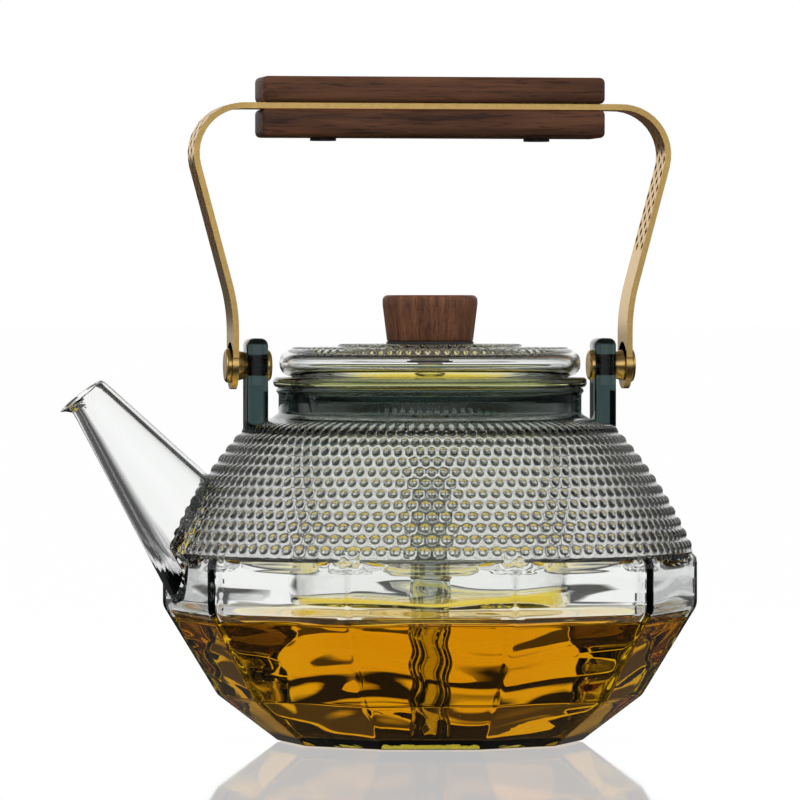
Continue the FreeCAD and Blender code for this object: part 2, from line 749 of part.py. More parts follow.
def strap_route():
    """Half of the strap's middle line: upright foot, knee, leaning leg, top bend, level top."""
    foot_x = value(strap_x)
    knee_z = value(knee_start_height)
    lean = value("leg_lean")
    knee = value("knee_radius")
    bend = value("strap_bend")
    top = value("strap_height")
    upward = Rotation(Vector(0, 0, 1), -lean).multVec(Vector(0, 1, 0))
    foot = Vector(foot_x, value("pivot_height"), 0)
    knee_start = Vector(foot_x, knee_z, 0)
    knee_centre = knee_start + Vector(knee, 0, 0)
    half_knee = Rotation(Vector(0, 0, 1), -lean / 2).multVec(Vector(-knee, 0, 0))
    knee_end = knee_centre + Rotation(Vector(0, 0, 1), -lean).multVec(Vector(-knee, 0, 0))
    inward = Vector(-upward.y, upward.x, 0)
    leg_length = (top - bend - knee_end.y - inward.y * bend) / upward.y
    bend_start = knee_end + upward * leg_length
    bend_centre = bend_start + inward * bend
    bend_end = bend_centre + Vector(0, bend, 0)
    half_bend = bend_centre + (bend_start - bend_centre + bend_end - bend_centre).normalize() * bend
    shapes = [
        Part.LineSegment(foot, knee_start),
        Part.Arc(knee_start, knee_centre + half_knee, knee_end),
        Part.LineSegment(knee_end, bend_start),
        Part.Arc(bend_start, half_bend, bend_end),
        Part.LineSegment(bend_end, Vector(0, top, 0)),
    ]
    for shape in shapes:
        path.addGeometry(shape)
    for number, joint in enumerate((knee_start, knee_end, bend_start, bend_end)):
        ends = [end_at(path, shape, joint) for shape in (number, number + 1)]
        path.addConstraint(Sketcher.Constraint("Tangent", number, ends[0], number + 1, ends[1]))
    path.addConstraint(Sketcher.Constraint("Vertical", 0))
    path.addConstraint(Sketcher.Constraint("Horizontal", 4))
    pin_point(path, 0, 1, strap_x, "pivot_height")
    leg_angle = FreeCAD.Units.Quantity(90 - lean, FreeCAD.Units.Angle)
    held = (
        (Sketcher.Constraint("Radius", 1, knee), "knee_radius"),
        (Sketcher.Constraint("Radius", 3, bend), "strap_bend"),
        (Sketcher.Constraint("DistanceY", -1, 1, 0, 2, knee_z), knee_start_height),
        (Sketcher.Constraint("DistanceY", -1, 1, 4, 2, top), "strap_height"),
        (Sketcher.Constraint("Angle", 2, leg_angle), "90 - leg_lean"),
    )
    for constraint, text in held:
        index = path.addConstraint(constraint)
        path.setExpression(f"Constraints[{index}]", sized(text))
    path.addConstraint(Sketcher.Constraint("PointOnObject", 4, 2, -2))


strap_route()
section = new_sketch(strap, "strap_section", "XY_Plane")
bind(section, AttachmentOffset__Base__z="pivot_height")
outline(section, [
    (f"{strap_x} - strap_thick / 2", "0 - strap_width / 2"),
    (f"{strap_x} + strap_thick / 2", "0 - strap_width / 2"),
    (f"{strap_x} + strap_thick / 2", "strap_width / 2"),
    (f"{strap_x} - strap_thick / 2", "strap_width / 2"),
])
doc.recompute()
strip = strap.newObject("PartDesign::AdditivePipe", "strap_strip")
strip.Profile = section
strip.Spine = path
doc.recompute()


def eye_circle(name, radius, offset):
    """A circle round the pivot, on an upright plane across the strap's foot."""
    sketch = new_sketch(strap, name, "YZ_Plane")
    bind(sketch, AttachmentOffset__Base__z=offset)
    centre = Vector(0, value("pivot_height"), 0)
    shape = sketch.addGeometry(Part.Circle(centre, Vector(0, 0, 1), value(radius)))
    pin_point(sketch, shape, 3, "0", "pivot_height")
    index = sketch.addConstraint(Sketcher.Constraint("Radius", shape, value(radius)))
    sketch.setExpression(f"Constraints[{index}]", sized(radius))
    return sketch


eye = strap.newObject("PartDesign::Pad", "strap_eye")
eye.Profile = eye_circle("strap_eye_section", "strap_width / 2", f"{strap_x} - strap_thick / 2")
bind(eye, Length="strap_thick")
doc.recompute()
eye_hole = strap.newObject("PartDesign::Pocket", "strap_eye_hole")
eye_bore = "shank_radius + shank_clearance"
eye_hole.Profile = eye_circle("strap_hole_section", eye_bore, f"{strap_x} + strap_thick")
bind(eye_hole, Length="2 * strap_thick")
doc.recompute()
screw_hole_sketch = new_sketch(strap, "grip_hole_section", "XY_Plane")
bind(screw_hole_sketch, AttachmentOffset__Base__z="strap_height + strap_thick")
screw_hole = screw_hole_sketch.addGeometry(
    Part.Circle(Vector(value("grip_screw_spacing / 2"), 0, 0), Vector(0, 0, 1), value("grip_screw_radius"))
)
pin_point(screw_hole_sketch, screw_hole, 3, "grip_screw_spacing / 2", "0")
hole_size = screw_hole_sketch.addConstraint(
    Sketcher.Constraint("Radius", screw_hole, value("grip_screw_radius + grip_screw_clearance"))
)
screw_hole_sketch.setExpression(
    f"Constraints[{hole_size}]", sized("grip_screw_radius + grip_screw_clearance")
)
grip_hole = strap.newObject("PartDesign::Pocket", "strap_grip_hole")
grip_hole.Profile = screw_hole_sketch
bind(grip_hole, Length="2 * strap_thick")
doc.recompute()
both_legs = strap.newObject("PartDesign::Mirrored", "strap_both_legs")
both_legs.Originals = [strip, eye, eye_hole, grip_hole]
both_legs.MirrorPlane = (plane_of(strap, "YZ_Plane"), [""])
strap.Tip = both_legs
doc.recompute()


# Grip: two walnut halves clamped on the strap by screws from below.
def grip_half(label, foot, height, shut_face):
    """One half: a bar with rounded long edges and ends, square where it meets the strap."""
    body = new_body(label)
    sketch = new_sketch(body, label + "_section", "XY_Plane")
    bind(sketch, AttachmentOffset__Base__z=foot)
    outline(sketch, [
        ("0 - grip_length / 2", "0 - grip_depth / 2"),
        ("grip_length / 2", "0 - grip_depth / 2"),
        ("grip_length / 2", "grip_depth / 2"),
        ("0 - grip_length / 2", "grip_depth / 2"),
    ])
    bar = body.newObject("PartDesign::Pad", label + "_bar")
    bar.Profile = sketch
    bind(bar, Length=height)
    doc.recompute()
    shut = value(shut_face)
    round_edges(
        body, label + "_round", "grip_round",
        lambda edge: abs(edge.BoundBox.Center.z - shut) > 0.01 and edge.BoundBox.ZLength < 0.01
        or edge.BoundBox.ZLength > 0.01,
    )
    return body


def drilled(body, label, radius, offset, depth):
    """Two holes for the grip screws, cut downwards from a level."""
    sketch = new_sketch(body, label + "_section", "XY_Plane")
    bind(sketch, AttachmentOffset__Base__z=offset)
    for sign in ("0 - ", ""):
        centre = f"{sign}grip_screw_spacing / 2"
        shape = sketch.addGeometry(Part.Circle(Vector(value(centre), 0, 0), Vector(0, 0, 1), value(radius)))
        pin_point(sketch, shape, 3, centre, "0")
        index = sketch.addConstraint(Sketcher.Constraint("Radius", shape, value(radius)))
        sketch.setExpression(f"Constraints[{index}]", sized(radius))
    hole = body.newObject("PartDesign::Pocket", label)
    hole.Profile = sketch
    bind(hole, Length=depth)
    doc.recompute()


upper_foot = "strap_height + strap_thick / 2"
lower_top = "strap_height - strap_thick / 2"
lower_foot = f"{lower_top} - grip_lower_height"
grip_upper = grip_half("grip_upper", upper_foot, "grip_upper_height", upper_foot)
drilled(grip_upper, "insert_holes", "insert_radius", f"{upper_foot} + insert_length", "2 * insert_length")
grip_lower = grip_half("grip_lower", lower_foot, "grip_lower_height", lower_top)
drilled(
    grip_lower, "screw_holes", "grip_screw_radius + grip_screw_clearance",
    f"{lower_top} + strap_thick", "2 * grip_lower_height",
)


def at_both_screws(label, build):
    """The same piece at both grip screws."""
    pieces = [build(side, f"{sign} * grip_screw_spacing / 2") for side, sign in (("left", -1), ("right", 1))]
    return group(label, *pieces)


def grip_screw(side, x):
    reach = "grip_lower_height + strap_thick + 0.9 * insert_length"
    head_foot = f"{lower_foot} - grip_head_thick"
    head = rod(f"{side}_grip_head", "grip_head_radius", "grip_head_thick", x=x, z=head_foot)
    shank = rod(f"{side}_grip_shank", "grip_screw_radius", reach, x=x, z=lower_foot)
    return fuse(f"{side}_grip_screw", head, shank)


def grip_insert(side, x):
    bar = rod(f"{side}_insert_bar", "insert_radius", "insert_length", x=x, z=upper_foot)
    bore = rod(
        f"{side}_insert_bore", "grip_screw_radius + grip_screw_clearance", "2 * insert_length",
        x=x, z=f"{upper_foot} - insert_length / 2",
    )
    return cut(f"{side}_grip_insert", bar, bore)


grip_screws = at_both_screws("grip_screws", grip_screw)
grip_inserts = at_both_screws("grip_inserts", grip_insert)

# Every piece is whole before any file is written.
pieces = [
    pot_base, pot_shoulder, pot_neck, spout, *pivots, cup, steam_tube, lid, knob, knob_gasket, knob_insert,
    lid_seal, lid_washer, knob_screw, strap, grip_upper, grip_lower, grip_screws, grip_inserts,
]
doc.recompute()
for item in doc.Objects:
    if "Invalid" in item.State or "Error" in item.State:
        raise RuntimeError(f"{item.Name} did not build: {item.State}")
for piece in pieces:
    if piece.Shape.isNull() or not piece.Shape.isValid() or not piece.Shape.Solids:
        raise RuntimeError(f"{piece.Label} is not a sound solid")
os.makedirs("parts", exist_ok=True)
for piece in pieces:
    piece.Shape.exportStep(f"parts/{piece.Label}.step")
    box = piece.Shape.BoundBox
    print(
        f"{piece.Label}: {len(piece.Shape.Solids)} solid, {piece.Shape.Volume / 1000:.2f} cm3,"
        f" x {box.XMin:.1f}..{box.XMax:.1f} y {box.YMin:.1f}..{box.YMax:.1f} z {box.ZMin:.1f}..{box.ZMax:.1f}"
    )
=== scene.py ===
import math
import bmesh
import bpy
import numpy as np
from mathutils import Matrix, Vector


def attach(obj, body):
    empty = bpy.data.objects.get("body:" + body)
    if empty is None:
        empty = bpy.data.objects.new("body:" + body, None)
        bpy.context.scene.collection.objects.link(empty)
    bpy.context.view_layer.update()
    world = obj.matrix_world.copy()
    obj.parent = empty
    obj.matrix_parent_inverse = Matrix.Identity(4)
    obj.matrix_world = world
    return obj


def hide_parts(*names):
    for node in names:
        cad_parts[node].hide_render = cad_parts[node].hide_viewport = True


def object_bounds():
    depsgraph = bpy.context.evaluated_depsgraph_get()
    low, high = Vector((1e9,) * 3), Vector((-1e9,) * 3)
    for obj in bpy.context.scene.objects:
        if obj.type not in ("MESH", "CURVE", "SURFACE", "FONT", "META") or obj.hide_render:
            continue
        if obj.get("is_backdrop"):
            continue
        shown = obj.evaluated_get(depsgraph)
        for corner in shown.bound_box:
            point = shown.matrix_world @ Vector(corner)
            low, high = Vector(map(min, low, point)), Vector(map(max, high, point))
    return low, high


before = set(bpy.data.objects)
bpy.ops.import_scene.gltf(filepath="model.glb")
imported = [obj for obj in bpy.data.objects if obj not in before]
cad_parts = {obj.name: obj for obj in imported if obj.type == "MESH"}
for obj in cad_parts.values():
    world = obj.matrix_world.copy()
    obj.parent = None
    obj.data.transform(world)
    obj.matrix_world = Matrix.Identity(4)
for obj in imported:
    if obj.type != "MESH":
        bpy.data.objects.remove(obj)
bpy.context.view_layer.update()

# Pot: one blown shell of smoky glass with ten facets below, a round hobnail shoulder and a plain neck.
# The shell is ruled by a row of rings, each the wider of a rounded polygon and a circle, outside then
# inside. The hobnails are raised on the shoulder by a Geometry Nodes tree that later serves the lid.


def placed(name, mesh):
    """The mesh as an object in the scene."""
    piece = bpy.data.objects.new(name, mesh)
    bpy.context.scene.collection.objects.link(piece)
    return piece


def meshed(name, points, edges, faces):
    """An object made of points, edges and faces."""
    mesh = bpy.data.meshes.new(name)
    mesh.from_pydata(points, edges, faces)
    return placed(name, mesh)


def closed_mesh(name, rings, loop=False):
    """An object with faces between rows of points that go round; loop joins the last row to the first."""
    rings = np.array(rings, float)
    rows, across = rings.shape[:2]
    faces = []
    for row in range(rows if loop else rows - 1):
        here = row * across
        after = (row + 1) % rows * across
        for step in range(across):
            turn = (step + 1) % across
            faces.append((here + step, here + turn, after + turn, after + step))
    return meshed(name, rings.reshape(-1, 3).tolist(), [], faces)


def settle(piece, crease=40):
    """Joins equal points, turns the faces outwards and shades smooth up to the crease angle."""
    shape = bmesh.new()
    shape.from_mesh(piece.data)
    bmesh.ops.remove_doubles(shape, verts=shape.verts, dist=1e-7)
    bmesh.ops.dissolve_degenerate(shape, edges=shape.edges, dist=1e-8)
    bmesh.ops.recalc_face_normals(shape, faces=shape.faces)
    shape.to_mesh(piece.data)
    shape.free()
    piece.data.shade_smooth()
    piece.data.set_sharp_from_angle(angle=math.radians(crease))
    return piece


def plain(piece):
    """The piece with its modifiers turned into a plain mesh."""
    graph = bpy.context.evaluated_depsgraph_get()
    made = bpy.data.meshes.new_from_object(piece.evaluated_get(graph), depsgraph=graph)
    piece.modifiers.clear()
    piece.data = made
    return piece


def carve(piece, tool):
    """Cuts the tool out of the piece and drops the tool."""
    step = piece.modifiers.new("carve", "BOOLEAN")
    step.operation = "DIFFERENCE"
    step.solver = "EXACT"
    step.object = tool
    plain(piece)
    bpy.data.objects.remove(tool)


def coat(piece, material):
    """Gives the piece this material alone."""
    piece.data.materials.clear()
    piece.data.materials.append(material)


def softened(corners, steps):
    """Points of an outline whose (x, y, radius) corners are rounded."""
    points = []
    last = len(corners) - 1
    for index, (x, y, radius) in enumerate(corners):
        here = np.array((x, y))
        if radius == 0 or index in (0, last):
            points.append(here)
            continue
        back = np.array(corners[index - 1][:2]) - here
        ahead = np.array(corners[index + 1][:2]) - here
        back /= np.linalg.norm(back)
        ahead /= np.linalg.norm(ahead)
        half = math.acos(np.clip(np.dot(back, ahead), -1, 1)) / 2
        reach = radius / math.tan(half)
        centre = here + (back + ahead) / np.linalg.norm(back + ahead) * radius / math.sin(half)
        start = here + back * reach - centre
        end = here + ahead * reach - centre
        sweep = math.pi - 2 * half
        for step in range(steps + 1):
            share = step / steps
            point = start * math.sin((1 - share) * sweep) + end * math.sin(share * sweep)
            points.append(centre + point / math.sin(sweep))
    return points


def connect(node, inputs):
    """Sets a node's inputs to plain values, or links them to the outputs of other nodes."""
    for label, value in inputs.items():
        if isinstance(value, bpy.types.NodeSocket):
            node.id_data.links.new(value, node.inputs[label])
        else:
            node.inputs[label].default_value = value


def add(tree, kind, inputs=None, **settings):
    """A new node in a tree, with its settings and then its inputs."""
    node = tree.nodes.new(kind)
    for label, setting in settings.items():
        setattr(node, label, setting)
    connect(node, inputs or {})
    return node


def maths(tree):
    """A function that adds a Math node to a node tree and gives its result."""

    def worked(operation, *terms):
        return add(tree, "ShaderNodeMath", dict(enumerate(terms)), operation=operation).outputs[0]

    return worked


def ramp(tree, share, *stops):
    """The colour at a share of the way along (place, colour) stops."""
    node = add(tree, "ShaderNodeValToRGB", {"Fac": share})
    for number, (place, colour) in enumerate(stops):
        stop = node.color_ramp.elements[number] if number < 2 else node.color_ramp.elements.new(place)
        stop.position = place
        stop.color = (*colour, 1)
    return node.outputs["Color"]


def shaded(name):
    """A new material with its node tree and its shader."""
    material = bpy.data.materials.new(name)
    material.use_nodes = True
    return material, material.node_tree, material.node_tree.nodes["Principled BSDF"]


def glass(name, colour, density, tint, ior=1.47, wet_ior=None):
    """Clear glass with a surface colour and a colour that deepens with thickness. Where its faces are
    marked wet, it bends light by wet_ior, the step from tea to glass."""
    material, tree, shader = shaded(name)
    connect(shader, {
        "Base Color": (*colour, 1),
        "Roughness": 0,
        "IOR": ior,
        "Specular Tint": (0.5, 0.5, 0.5, 1),
        "Transmission Weight": 1,
    })
    if wet_ior:
        wet = add(tree, "ShaderNodeAttribute", attribute_name="wet").outputs["Fac"]
        bend = add(tree, "ShaderNodeMapRange", {"Value": wet, "To Min": ior, "To Max": wet_ior})
        connect(shader, {"IOR": bend.outputs["Result"]})
    depth = add(tree, "ShaderNodeVolumeAbsorption", {"Color": (*tint, 1), "Density": density})
    connect(tree.nodes["Material Output"], {"Volume": depth.outputs["Volume"]})
    return material


def own_place(tree):
    """The X, Y and Z of a piece's own coordinates."""
    place = add(tree, "ShaderNodeTexCoord").outputs["Object"]
    return add(tree, "ShaderNodeSeparateXYZ", {"Vector": place}).outputs


def tint_and_shade_by_height(material, low, high, lower, upper):
    """Colours a glass by height, from one colour at the low level to another at the high one; the pot's neck
    uses it for painted shade, the infuser's flange for its own tint.
    """
    tree = material.node_tree
    height = own_place(tree)["Z"]
    level = add(tree, "ShaderNodeMapRange", {"Value": height, "From Min": low, "From Max": high})
    colour = ramp(tree, level.outputs["Result"], (0, lower), (1, upper))
    connect(tree.nodes["Principled BSDF"], {"Base Color": colour})


def wet_faces(piece, touches):
    """Marks the faces that the tea touches, told from each face's centre and normal."""
    store = piece.data.attributes.new("wet", "FLOAT", "FACE")
    for number, face in enumerate(piece.data.polygons):
        store.data[number].value = float(touches(face.center, face.normal))


def dot_heights(sum_of, around, along, reach, power):
    """Height from 0 to 1 over a grid of round dots, where each other row is half a cell along."""
    shift = sum_of("MULTIPLY", sum_of("MODULO", sum_of("FLOOR", along), 2), 0.5)
    aside = sum_of("SUBTRACT", sum_of("FRACT", sum_of("ADD", around, shift)), 0.5)
    ahead = sum_of("SUBTRACT", sum_of("FRACT", along), 0.5)
    spread = sum_of("ADD", sum_of("MULTIPLY", aside, aside), sum_of("MULTIPLY", ahead, ahead))
    share = sum_of("DIVIDE", spread, sum_of("MULTIPLY", reach, reach))
    return sum_of("POWER", sum_of("MAXIMUM", sum_of("SUBTRACT", 1, share), 0), power)


def crisp_dots(material, count, height, reach):
    """Draws the dots' edges in the shading too, finer than the mesh can hold them."""
    tree = material.node_tree
    sum_of = maths(tree)
    place = own_place(tree)
    around = sum_of("MULTIPLY", sum_of("ARCTAN2", place["Y"], place["X"]), count / (2 * math.pi))
    along = add(tree, "ShaderNodeAttribute", attribute_name="dot_v").outputs["Fac"]
    shown = add(tree, "ShaderNodeAttribute", attribute_name="dot_mask").outputs["Fac"]
    dome = dot_heights(sum_of, around, along, reach, power=0.6)
    relief = add(tree, "ShaderNodeBump", {"Distance": height, "Height": sum_of("MULTIPLY", dome, shown)})
    connect(tree.nodes["Principled BSDF"], {"Normal": relief.outputs["Normal"]})


def empty_tree(name, inputs):
    """A Geometry Nodes tree with named inputs, what it is given, and its last node."""
    tree = bpy.data.node_groups.new(name, "GeometryNodeTree")
    for label, kind in inputs.items():
        tree.interface.new_socket(label, in_out="INPUT", socket_type=f"NodeSocket{kind}")
    tree.interface.new_socket("Geometry", in_out="OUTPUT", socket_type="NodeSocketGeometry")
    return tree, add(tree, "NodeGroupInput").outputs, add(tree, "NodeGroupOutput")


def named(tree, label, kind="FLOAT"):
    """What is stored under a name on each point."""
    node = add(tree, "GeometryNodeInputNamedAttribute", {"Name": label}, data_type=kind)
    return node.outputs["Attribute"]


def hobnail_tree():
    """Raises a round dot in each cell of the dot_u, dot_v grid, each other row half a cell along."""
    tree, given, result = empty_tree("hobnails", {
        "Geometry": "Geometry", "Dot Height": "Float", "Dot Radius": "Float", "Material": "Material",
    })
    sum_of = maths(tree)
    dome = dot_heights(sum_of, named(tree, "dot_u"), named(tree, "dot_v"), given["Dot Radius"], power=1.0)
    lift = sum_of("MULTIPLY", sum_of("MULTIPLY", dome, given["Dot Height"]), named(tree, "dot_mask"))
    facing = add(tree, "GeometryNodeInputNormal").outputs["Normal"]
    offset = add(tree, "ShaderNodeVectorMath", {0: facing, "Scale": lift}, operation="SCALE").outputs[0]
    move = add(tree, "GeometryNodeSetPosition", {"Geometry": given["Geometry"], "Offset": offset}).outputs[0]
    real = add(tree, "GeometryNodeRealizeInstances", {"Geometry": move}).outputs[0]
    dressed = add(tree, "GeometryNodeSetMaterial", {"Geometry": real, "Material": given["Material"]})
    connect(result, {"Geometry": dressed.outputs[0]})
    return tree


def run_tree(piece, tree, **inputs):
    """Puts the tree on the piece, with the tree's inputs set by their identifiers."""
    step = piece.modifiers.new(tree.name, "NODES")
    step.node_group = tree
    given = {item.name: item.identifier for item in tree.interface.items_tree if item.in_out == "INPUT"}
    for label, value in inputs.items():
        step[given[label.replace("_", " ").title()]] = value


def mark(piece, **values):
    """Stores a number for each point of a piece."""
    for label, numbers in values.items():
        store = piece.data.attributes.new(label, "FLOAT", "POINT")
        store.data.foreach_set("value", np.array(numbers, np.float32).ravel())


def full_turn(count):
    """Evenly spaced angles all the way round."""
    return np.linspace(0, 2 * math.pi, count, endpoint=False)


facet_count = 10
facet_turn = math.radians(-9.5)
facet_step = 2 * math.pi / facet_count
facet_faces = facet_turn + facet_step * (np.arange(facet_count) + 0.5)
corner_sharpness = 400


def polygon(turns, radius):
    """Distance from the axis to a polygon with softened corners, for every turn."""
    flat = radius * math.cos(math.pi / facet_count)
    facing = np.maximum(np.cos(turns[:, None] - facet_faces[None, :]), 1e-6)
    return flat / np.sum(facing ** corner_sharpness, axis=1) ** (1 / corner_sharpness)


def ring(turns, height, corner=0.0, circle=0.0):
    """One ring of the shell: the wider of a polygon and a circle, or a point on the axis."""
    away = np.full(len(turns), circle)
    if corner:
        away = np.maximum(away, polygon(turns, corner))
    return np.stack([away * np.cos(turns), away * np.sin(turns), np.full(len(turns), height)], axis=1)


def bowed(start, end, radius, count):
    """Points on an arc that bulges away from the axis."""
    start = np.array(start)
    end = np.array(end)
    chord = end - start
    length = np.linalg.norm(chord)
    side = np.array((chord[1], -chord[0])) / length
    sink = math.sqrt(radius ** 2 - (length / 2) ** 2)
    centre = (start + end) / 2 - side * sink
    half = math.asin(length / 2 / radius)
    return [
        centre + radius * (side * math.cos(angle) + chord / length * math.sin(angle))
        for angle in np.linspace(-half, half, count)
    ]


tea_level = 0.0390
tight_wave = 0.0016
wide_wave = 0.0034
wet_ripple = 0.00060
dry_ripple = 0.00008
ripple_low = 0.0055
ripple_high = 0.0540
ripple_fade = 0.006


def rippled(turns, away, height, outwards=0.0):
    """A ring of the inside, which is wavy as blown glass is, and even at the floor and the belly's top."""
    made = ring(turns, height, corner=away + outwards)
    swell = np.sin(height / tight_wave + 1.8 * np.sin(4 * turns + 0.5) + 1.1 * np.sin(7 * turns))
    swell = swell + 0.8 * np.sin(height / wide_wave + 2.4 * np.sin(3 * turns + 1.0))
    depth = wet_ripple if height < tea_level else dry_ripple
    depth *= min(max((height - ripple_low) / ripple_fade, 0), 1)
    depth *= min(max((ripple_high - height) / ripple_fade, 0), 1)
    grown = 1 + depth * swell / max(away, 0.01)
    made[:, :2] *= grown[:, None]
    return made


def finer(points, longest):
    """The same outline with its longer stretches divided, but for the flat floor."""
    made = [points[0]]
    for before, after in zip(points, points[1:]):
        parts = 1 if before[0] == 0 else math.ceil(np.linalg.norm(after - before) / longest)
        made += [before + (after - before) * part / parts for part in range(1, parts + 1)]
    return made


belly = 0.0817
belly_low = 0.0413
belly_high = 0.0545
evening_ring = 0.0540
inner_belly = 0.0782
floor_top = 0.0045
outer_low = softened([
    (0.0, 0.0, 0), (0.0465, 0.0, 0.0016), (0.0650, 0.0140, 0.0040), (belly, belly_low, 0.0050),
    (belly, evening_ring, 0), (belly, belly_high, 0),
], steps=4)
inner_low = softened([
    (0.0, floor_top, 0), (0.0472, floor_top, 0.0030), (0.0610, 0.0153, 0.0050), (inner_belly, 0.0419, 0.0060),
    (inner_belly, belly_high, 0),
], steps=4)
inner_step = 0.0016
shoulder_foot = (0.0800, 0.0580)
shoulder_top = (0.0550, 0.0966)
shoulder_bow = 0.130
inner_foot = (0.0768, 0.0574)
inner_top = (0.0528, 0.0944)
shoulder = bowed(shoulder_foot, shoulder_top, shoulder_bow, 61)
inner_shoulder = bowed(inner_foot, inner_top, shoulder_bow, 10)
neck_radius = 0.0462
neck_bore = 0.0432
rim_radius = 0.0469
rim_height = 0.1078
neck = softened([
    (*shoulder_top, 0), (0.0484, 0.0985, 0.002), (neck_radius, 0.1000, 0.001), (neck_radius, 0.1056, 0.0006),
    (rim_radius, 0.1066, 0.0004), (rim_radius, rim_height, 0.0009), (neck_bore, rim_height, 0.0011),
    (neck_bore, 0.0977, 0.002), (0.0454, 0.0961, 0.002), (*inner_top, 0),
], steps=2)
belly_edge = (0.0570, 0.0806, 0.0795)
belly_to_shoulder = ((0.0560, 0.0815, 0.0787), belly_edge, (0.0577, 0.0797, 0.0799))
shoulder_to_inside = (0.0562, 0.0772, 0.0757)
dot_count = 116
points_per_dot = 5
pot_turns = full_turn(dot_count * points_per_dot)
rings = [ring(pot_turns, height, corner=away) for away, height in outer_low]
rings += [ring(pot_turns, *edge) for edge in belly_to_shoulder]
first_dot = len(rings)
rings += [ring(pot_turns, height, circle=away) for away, height in shoulder]
last_dot = len(rings)
rings += [ring(pot_turns, height, circle=away) for away, height in neck[1:-1]]
rings += [ring(pot_turns, height, circle=away) for away, height in reversed(inner_shoulder)]
rings += [ring(pot_turns, *shoulder_to_inside)]
rings += [rippled(pot_turns, away, height) for away, height in reversed(finer(inner_low, inner_step))]
pot = closed_mesh("pot_shell", rings)
dot_row_start = 0.0005
dot_row_pitch = 0.0038
dot_rows = 12
shoulder_run = np.linalg.norm(np.diff(np.array(shoulder), axis=0), axis=1).cumsum()
row_of = np.zeros(len(rings))
row_of[first_dot:last_dot] = (np.concatenate([[0], shoulder_run]) - dot_row_start) / dot_row_pitch
shown = (row_of > 0) * (row_of < dot_rows)
mark(
    pot,
    dot_u=np.tile(pot_turns / (2 * math.pi) * dot_count, len(rings)),
    dot_v=np.repeat(row_of, len(pot_turns)),
    dot_mask=np.repeat(shown, len(pot_turns)),
)
from_tea = 1.47 / 1.33
smoke_glass = glass("smoke_glass", (0.98, 0.985, 0.98), 11.0, (0.34, 0.44, 0.40), wet_ior=from_tea)
# Painted shade: from 0.094 m up, the pot glass's surface colour turns dark grey-green. It stands in for the
# dark reflections and the stacked walls of the neck and rim, not for a darker glass.
tint_and_shade_by_height(smoke_glass, 0.094, 0.100, lower=(0.975, 0.98, 0.975), upper=(0.13, 0.17, 0.16))
hobnails = hobnail_tree()
settle(pot)
run_tree(pot, hobnails, material=smoke_glass, dot_height=0.0007, dot_radius=0.43)
plain(pot)
crisp_dots(smoke_glass, dot_count, height=0.0005, reach=0.36)

# The spout's bore goes through the pot's wall too, so a tapered plug along the spout's line is cut
# from the shell. It stops inside the pot.
spout_lean = math.radians(52.1)
spout_down = np.array((math.cos(spout_lean), 0, -math.sin(spout_lean)))
spout_side = np.array((-math.sin(spout_lean), 0, -math.cos(spout_lean)))
spout_across = np.array((0, 1, 0))
spout_mouth = np.array((-0.1045, 0, 0.1050))
spout_length = 0.0652
spout_tip = 0.0067
spout_bore = 0.0047
spout_taper = (0.0183 - spout_tip) / spout_length
spout_turns = full_turn(96)


def spout_ring(along, radius, aside=0.0):
    """A ring across the spout at a distance below its mouth."""
    centre = spout_mouth + spout_down * along + spout_side * aside
    return [
        centre + radius * (spout_side * math.cos(turn) + spout_across * math.sin(turn))
        for turn in spout_turns
    ]


def cone_ring(along, tip):
    """A ring on the spout's cone, outside or inside, by its radius at the tip."""
    return spout_ring(along, tip + spout_taper * along)


plug_start = 0.020
plug_end = 0.0575
bore_tool = closed_mesh("bore_tool", [
    spout_ring(plug_start, 0.0), cone_ring(plug_start, spout_bore),
    cone_ring(plug_end, spout_bore), spout_ring(plug_end, 0.0),
])
settle(bore_tool)
carve(pot, bore_tool)
settle(pot)
coat(pot, smoke_glass)


def inside_wall(centre, normal):
    """Whether a face of the shell is on its inside, below the tea's level."""
    inwards = normal.x * centre.x + normal.y * centre.y < 0
    return centre.z < tea_level and (inwards or normal.z > 0.5)


wet_faces(pot, inside_wall)
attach(pot, "pot")
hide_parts("pot_base", "pot_shoulder", "pot_neck")

# Spout: a clear glass cone with an even wall, flame-welded to the shoulder, and a lip that leans out.
# Its root sinks a little into the pot's wall, as the weld does. The lip's rings are each given by the
# distance below the mouth, the radius and the lean.
lip = (
    (0.0006, 0.00685, 0.0001), (-0.0010, 0.0074, 0.0010), (-0.0018, 0.0078, 0.0018),
    (-0.0020, 0.0077, 0.0019), (-0.00215, 0.0070, 0.0019), (-0.0020, 0.0061, 0.0019),
    (-0.0012, 0.0055, 0.0012), (0.0006, 0.00485, 0.0001),
)
spout = closed_mesh("spout_cone", [
    *[cone_ring(along, spout_tip) for along in (spout_length, 0.040, 0.012, 0.003)],
    *[spout_ring(*place) for place in lip],
    *[cone_ring(along, spout_bore) for along in (0.003, 0.040, spout_length)],
], loop=True)
settle(spout)
sunk = 0.0005
weld_low = 0.020
weld_turns = full_turn(300)
edge_height, edge_corner, edge_circle = belly_edge
weld_tool = closed_mesh("weld_tool", [
    ring(weld_turns, weld_low),
    ring(weld_turns, weld_low, corner=0.0685),
    ring(weld_turns, belly_low, corner=belly - sunk),
    ring(weld_turns, belly_high, corner=belly - sunk),
    ring(weld_turns, edge_height, edge_corner - sunk, edge_circle - sunk),
    *[
        ring(weld_turns, height, circle=away - sunk)
        for away, height in bowed(shoulder_foot, shoulder_top, shoulder_bow, 20)
    ],
    ring(weld_turns, shoulder_top[1]),
])
settle(weld_tool)
carve(spout, weld_tool)
settle(spout)
clear_glass = glass("clear_glass", (0.985, 0.99, 0.985), 6.0, (0.45, 0.55, 0.50))
coat(spout, clear_glass)
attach(spout, "pot")
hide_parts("spout")
